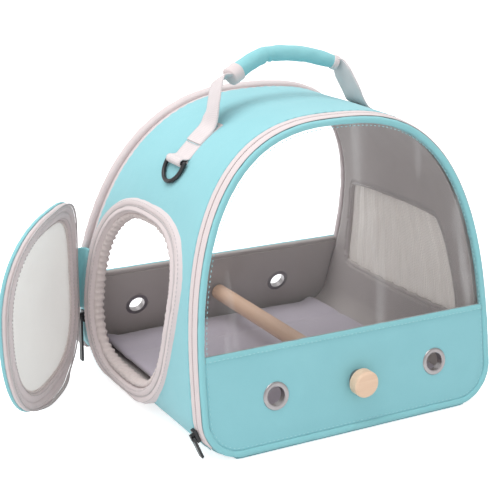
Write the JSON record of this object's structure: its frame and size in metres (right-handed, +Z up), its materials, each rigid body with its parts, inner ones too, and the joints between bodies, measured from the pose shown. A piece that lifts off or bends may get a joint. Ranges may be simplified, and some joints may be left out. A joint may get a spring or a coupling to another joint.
{
  "type": "bird travel carrier",
  "caption": "Soft-sided travel carrier for a small bird: padded arch on a flat base, zipped clear panels front and rear, zipped mesh side door, mesh window, wooden perch and carry handle",
  "frame": {"origin": "on the ground under the middle of the base", "axes": "+X to the carrier's right seen from the front, +Y towards the rear, +Z up; the front panel with the knob faces -Y"},
  "size_m": [0.4407, 0.303, 0.3185],
  "materials": {
    "cover_fabric": "woven, pale aqua",
    "webbing": "woven webbing, pale pink-grey",
    "tape": "woven tape, pink-grey",
    "lining": "woven, mid grey",
    "padding": "soft foam and cord, white",
    "mat_fabric": "brushed, pale lilac grey",
    "board": "matt sheet",
    "hoop_wire": "flat spring strip",
    "window_film": "clear flexible film",
    "mesh": "fine white mesh",
    "dark_metal": "grey satin metal",
    "perch_wood": "bare turned wood",
    "zip_plastic": "black"
  },
  "bodies": {
    "shell": {"shell_cover": "cover_fabric", "wall_pad": "padding", "shell_lining": "lining", "base_cover": "cover_fabric", "base_board": "board", "base_lining": "lining", "floor_mat": "mat_fabric", "front_hoop": "hoop_wire", "rear_hoop": "hoop_wire", "front_zip_shell_half": "tape", "rear_zip_shell_half": "tape", "front_zip_slider": "zip_plastic", "rear_zip_slider": "zip_plastic", "doorway_ring": "tape", "doorway_zip_half": "zip_plastic", "doorway_fringe": "mesh", "door_hinge_strip": "cover_fabric", "door_zip_slider": "zip_plastic", "mesh_window": "mesh", "mesh_window_frame": "lining", "shoulder_tab_left": "webbing", "shoulder_tab_right": "webbing"},
    "front_panel": {"front_rim": "cover_fabric", "front_rim_cord": "padding", "front_window": "window_film", "front_panel_cover": "cover_fabric", "front_panel_board": "board", "front_panel_lining": "lining", "front_hem": "cover_fabric", "front_eyelets": "dark_metal", "front_zip_panel_half": "tape", "perch": "perch_wood", "perch_screw": "dark_metal", "perch_seats": "dark_metal"},
    "knob": {"perch_knob": "perch_wood"},
    "rear_panel": {"rear_rim": "tape", "rear_rim_cord": "padding", "rear_window": "window_film", "rear_panel_cover": "cover_fabric", "rear_panel_board": "board", "rear_panel_lining": "lining", "rear_hem": "cover_fabric", "rear_eyelets": "dark_metal", "rear_zip_panel_half": "tape"},
    "side_door": {"door_hinge_fold": "cover_fabric", "door_edge_band": "cover_fabric", "door_border_pad": "tape", "door_piping": "cover_fabric", "door_mesh": "mesh", "door_zip_half": "zip_plastic"},
    "handle": {"handle_webbing": "webbing", "handle_sleeve": "cover_fabric", "handle_core": "padding", "handle_collars": "tape"},
    "left_d_ring": {"d_ring_left": "zip_plastic"},
    "right_d_ring": {"d_ring_right": "zip_plastic"},
    "front_pull": {"front_zip_pull": "zip_plastic"},
    "rear_pull": {"rear_zip_pull": "zip_plastic"},
    "door_pull": {"door_zip_pull": "zip_plastic"}
  },
  "joints": [
    {"name": "front_panel_hinge", "type": "hinge", "parent": "shell", "child": "front_panel", "pos_m": [0, -0.14906, 0.0017], "axis": [1, 0, 0], "range_deg": [0, 55]},
    {"name": "rear_panel_hinge", "type": "hinge", "parent": "shell", "child": "rear_panel", "pos_m": [0, 0.14885, 0.0017], "axis": [-1, 0, 0], "range_deg": [0, 90]},
    {"name": "side_door_hinge", "type": "hinge", "parent": "shell", "child": "side_door", "pos_m": [-0.1562, 0.1035, 0.098], "axis": [0, 0, -1], "range_deg": [-39, 81]},
    {"name": "knob_turn", "type": "hinge", "parent": "front_panel", "child": "knob", "pos_m": [0.004, -0.14314, 0.046], "axis": [0, -1, 0], "continuous": true},
    {"name": "handle_swing", "type": "hinge", "parent": "shell", "child": "handle", "pos_m": [0, -0.027, 0.27432], "axis": [1, 0, 0], "range_deg": [-25, 75]},
    {"name": "left_d_ring_swing", "type": "hinge", "parent": "shell", "child": "left_d_ring", "pos_m": [-0.1146, -0.027, 0.22903], "axis": [0, 1, 0], "range_deg": [0, 140]},
    {"name": "right_d_ring_swing", "type": "hinge", "parent": "shell", "child": "right_d_ring", "pos_m": [0.1146, -0.027, 0.22903], "axis": [0, -1, 0], "range_deg": [0, 140]},
    {"name": "front_pull_swing", "type": "hinge", "parent": "shell", "child": "front_pull", "pos_m": [-0.15196, -0.13109, 0.02185], "axis": [0, 1, 0], "range_deg": [0, 120]},
    {"name": "rear_pull_swing", "type": "hinge", "parent": "shell", "child": "rear_pull", "pos_m": [0.15196, 0.12613, 0.02185], "axis": [0, -1, 0], "range_deg": [-20, 120]},
    {"name": "door_pull_swing", "type": "hinge", "parent": "shell", "child": "door_pull", "pos_m": [-0.1546, 0.105, 0.051], "axis": [0, 1, 0], "range_deg": [0, 20]}
  ]
}
